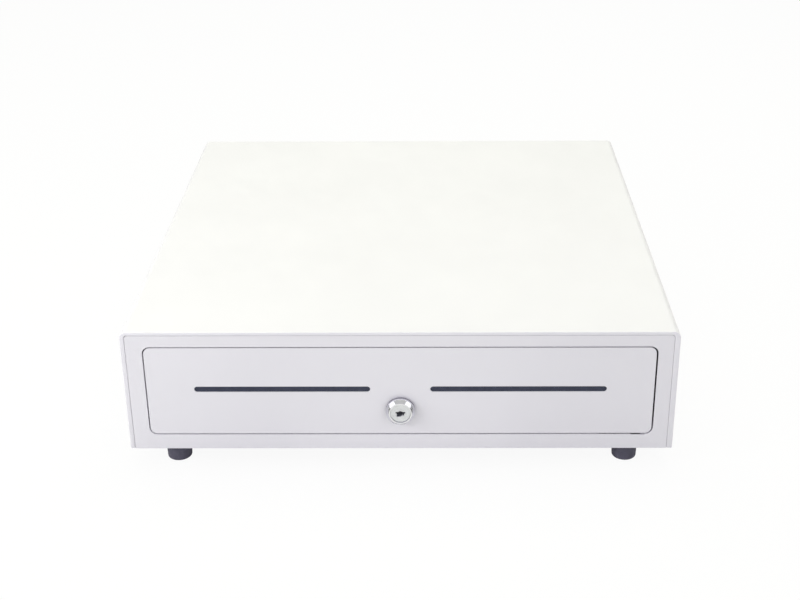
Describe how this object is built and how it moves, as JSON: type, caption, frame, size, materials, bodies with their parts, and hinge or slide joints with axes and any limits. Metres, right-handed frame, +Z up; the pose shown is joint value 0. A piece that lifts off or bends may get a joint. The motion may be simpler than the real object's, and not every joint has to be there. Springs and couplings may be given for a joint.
{
  "type": "cash drawer",
  "caption": "Low steel cash drawer with a front key lock and media slots, a sliding till on ball rails, a rear solenoid latch and rubber feet.",
  "frame": {"origin": "centre of the overall footprint (lock face to rear screw heads), on the plane the feet stand on", "axes": "+Z up; -Y is the front, where the drawer slides out; +X is to the right seen from the front"},
  "size_m": [0.41, 0.422, 0.1132],
  "materials": {
    "white_paint": "satin powder coat",
    "drawer_paint": "satin powder coat",
    "zinc_steel": "zinc plated sheet steel",
    "bright_steel": "bright steel",
    "chrome": "polished",
    "foot_rubber": "matte",
    "till_plastic": "fine moulded grain",
    "coin_plastic": "fine moulded grain",
    "nylon": "satin",
    "coil_winding": "enamelled copper wire",
    "board": "coated board"
  },
  "bodies": {
    "case": {"back_panel": "white_paint", "back_screw_lower_left": "bright_steel", "back_screw_lower_right": "bright_steel", "back_screw_upper_left": "bright_steel", "back_screw_upper_right": "bright_steel", "cable_socket": "till_plastic", "chassis_base": "zinc_steel", "circuit_board": "board", "foot_front_left": "foot_rubber", "foot_front_right": "foot_rubber", "foot_rear_left": "foot_rubber", "foot_rear_right": "foot_rubber", "foot_screw_front_left": "bright_steel", "foot_screw_front_right": "bright_steel", "foot_screw_rear_left": "bright_steel", "foot_screw_rear_right": "bright_steel", "front_frame": "white_paint", "kicker_guide": "nylon", "kicker_spring": "bright_steel", "latch_bracket": "zinc_steel", "latch_pivot_pin": "bright_steel", "latch_spring": "bright_steel", "lock_keeper": "zinc_steel", "outer_cover": "white_paint", "slide_outer_left": "bright_steel", "slide_outer_right": "bright_steel", "solenoid_coil": "coil_winding", "solenoid_frame": "zinc_steel", "switch_body": "till_plastic"},
    "drawer": {"drawer_front": "drawer_paint", "drawer_pan": "drawer_paint", "slide_inner_left": "bright_steel", "slide_inner_right": "bright_steel", "media_chute_left": "zinc_steel", "media_chute_right": "zinc_steel", "lock_barrel": "chrome", "lock_nut": "zinc_steel", "cash_tray": "till_plastic", "coin_tray": "coin_plastic", "clip_rod": "bright_steel", "striker": "zinc_steel", "clip_spring_1": "bright_steel", "clip_spring_2": "bright_steel", "clip_spring_3": "bright_steel", "clip_spring_4": "bright_steel", "clip_spring_5": "bright_steel"},
    "lock": {"lock_plug": "bright_steel", "lock_cam": "zinc_steel", "release_rod": "zinc_steel"},
    "ball_cage_left": {"ball_cage_left": "bright_steel"},
    "ball_cage_right": {"ball_cage_right": "bright_steel"},
    "latch_lever": {"latch_lever": "bright_steel"},
    "solenoid_plunger": {"solenoid_plunger": "bright_steel"},
    "switch_lever": {"switch_lever": "bright_steel"},
    "kicker_plunger": {"kicker_plunger": "nylon"},
    "note_clip_1": {"note_clip_1": "till_plastic"},
    "note_clip_2": {"note_clip_2": "till_plastic"},
    "note_clip_3": {"note_clip_3": "till_plastic"},
    "note_clip_4": {"note_clip_4": "till_plastic"},
    "note_clip_5": {"note_clip_5": "till_plastic"}
  },
  "joints": [
    {"name": "drawer_slide", "type": "slide", "parent": "case", "child": "drawer", "axis": [0, -1, 0], "range_m": [0, 0.29]},
    {"name": "ball_cage_left_slide", "type": "slide", "parent": "case", "child": "ball_cage_left", "axis": [0, -1, 0], "range_m": [0, 0.145]},
    {"name": "ball_cage_right_slide", "type": "slide", "parent": "case", "child": "ball_cage_right", "axis": [0, -1, 0], "range_m": [0, 0.145]},
    {"name": "kicker_slide", "type": "slide", "parent": "case", "child": "kicker_plunger", "axis": [0, -1, 0], "range_m": [0, 0.025]},
    {"name": "switch_lever_swing", "type": "hinge", "parent": "case", "child": "switch_lever", "pos_m": [0.0353, 0.1578, 0.0446], "axis": [0, 0, -1], "range_deg": [0, 12]},
    {"name": "lock_turn", "type": "hinge", "parent": "drawer", "child": "lock", "pos_m": [0, -0.2055, 0.0478], "axis": [0, -1, 0], "range_deg": [-90, 45]},
    {"name": "latch_swing", "type": "hinge", "parent": "case", "child": "latch_lever", "pos_m": [-0.014, 0.1985, 0.0532], "axis": [0, 0, -1], "range_deg": [-13, 0]},
    {"name": "plunger_slide", "type": "slide", "parent": "case", "child": "solenoid_plunger", "axis": [1, 0, 0], "range_m": [0, 0.0062]},
    {"name": "note_clip_1_lift", "type": "hinge", "parent": "drawer", "child": "note_clip_1", "pos_m": [-0.1408, 0.0765, 0.0842], "axis": [-1, 0, 0], "range_deg": [-3, 22]},
    {"name": "note_clip_2_lift", "type": "hinge", "parent": "drawer", "child": "note_clip_2", "pos_m": [-0.0704, 0.0765, 0.0842], "axis": [-1, 0, 0], "range_deg": [-3, 22]},
    {"name": "note_clip_3_lift", "type": "hinge", "parent": "drawer", "child": "note_clip_3", "pos_m": [0, 0.0765, 0.0842], "axis": [-1, 0, 0], "range_deg": [-3, 22]},
    {"name": "note_clip_4_lift", "type": "hinge", "parent": "drawer", "child": "note_clip_4", "pos_m": [0.0704, 0.0765, 0.0842], "axis": [-1, 0, 0], "range_deg": [-3, 22]},
    {"name": "note_clip_5_lift", "type": "hinge", "parent": "drawer", "child": "note_clip_5", "pos_m": [0.1408, 0.0765, 0.0842], "axis": [-1, 0, 0], "range_deg": [-3, 22]}
  ],
  "couplings": [
    {"joint": "ball_cage_left_slide", "follows": "drawer_slide", "ratio": 0.5},
    {"joint": "ball_cage_right_slide", "follows": "drawer_slide", "ratio": 0.5},
    {"joint": "kicker_slide", "follows": "drawer_slide", "ratio": 0.086198},
    {"joint": "switch_lever_swing", "follows": "drawer_slide", "rad_per_m": 0.72213},
    {"joint": "plunger_slide", "follows": "latch_swing", "m_per_rad": -0.026444}
  ]
}
